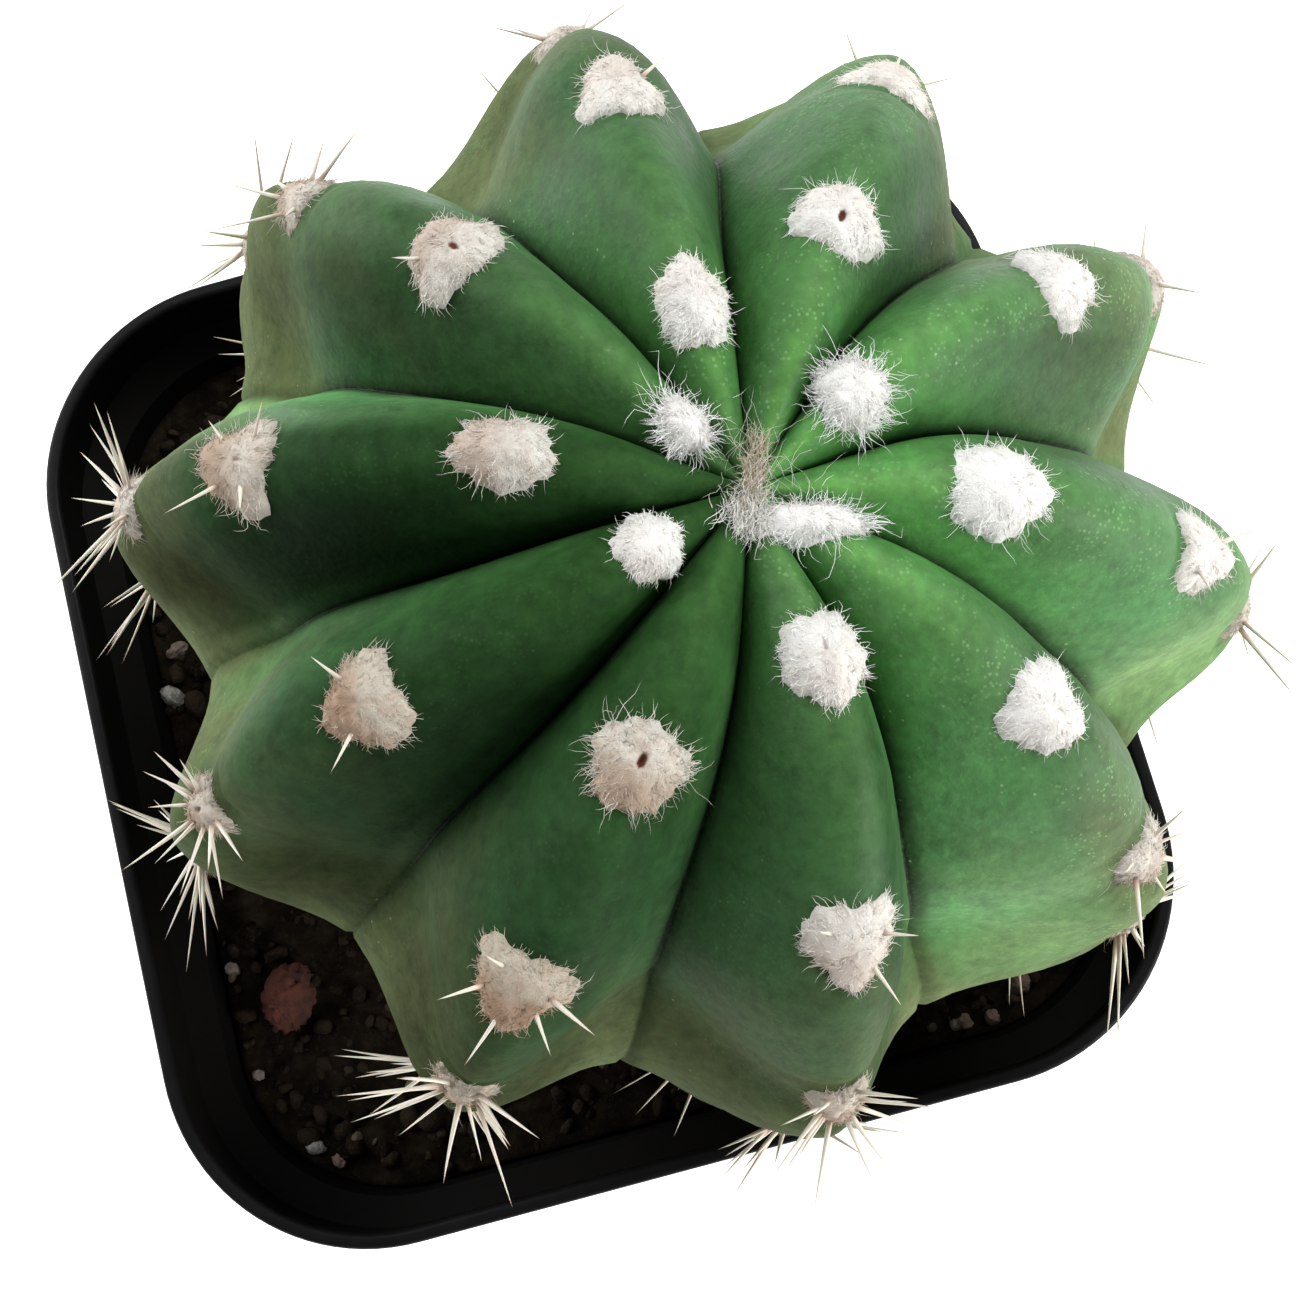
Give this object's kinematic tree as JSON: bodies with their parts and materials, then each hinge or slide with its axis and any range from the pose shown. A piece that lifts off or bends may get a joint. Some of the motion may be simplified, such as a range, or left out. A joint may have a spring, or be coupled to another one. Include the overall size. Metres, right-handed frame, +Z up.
{
  "type": "potted globe cactus",
  "caption": "Ribbed globe cactus with woolly areoles and short spines, growing in dark soil in a black rounded-square nursery pot.",
  "frame": {"origin": "middle of the pot's flat underside, on the surface that it stands on", "axes": "+Z up, +X to the right and +Y away from the viewer of the picture's pot, along the pot's sides"},
  "size_m": [0.1016, 0.0956, 0.1395],
  "materials": {
    "black_plastic": "satin",
    "potting_mix": "matte",
    "cactus_skin": "satin",
    "areole_wool": "matte",
    "spine": "satin",
    "perlite": "matte"
  },
  "bodies": {
    "root": {"pot": "black_plastic", "soil": "potting_mix", "cactus": "cactus_skin"}
  },
  "joints": []
}
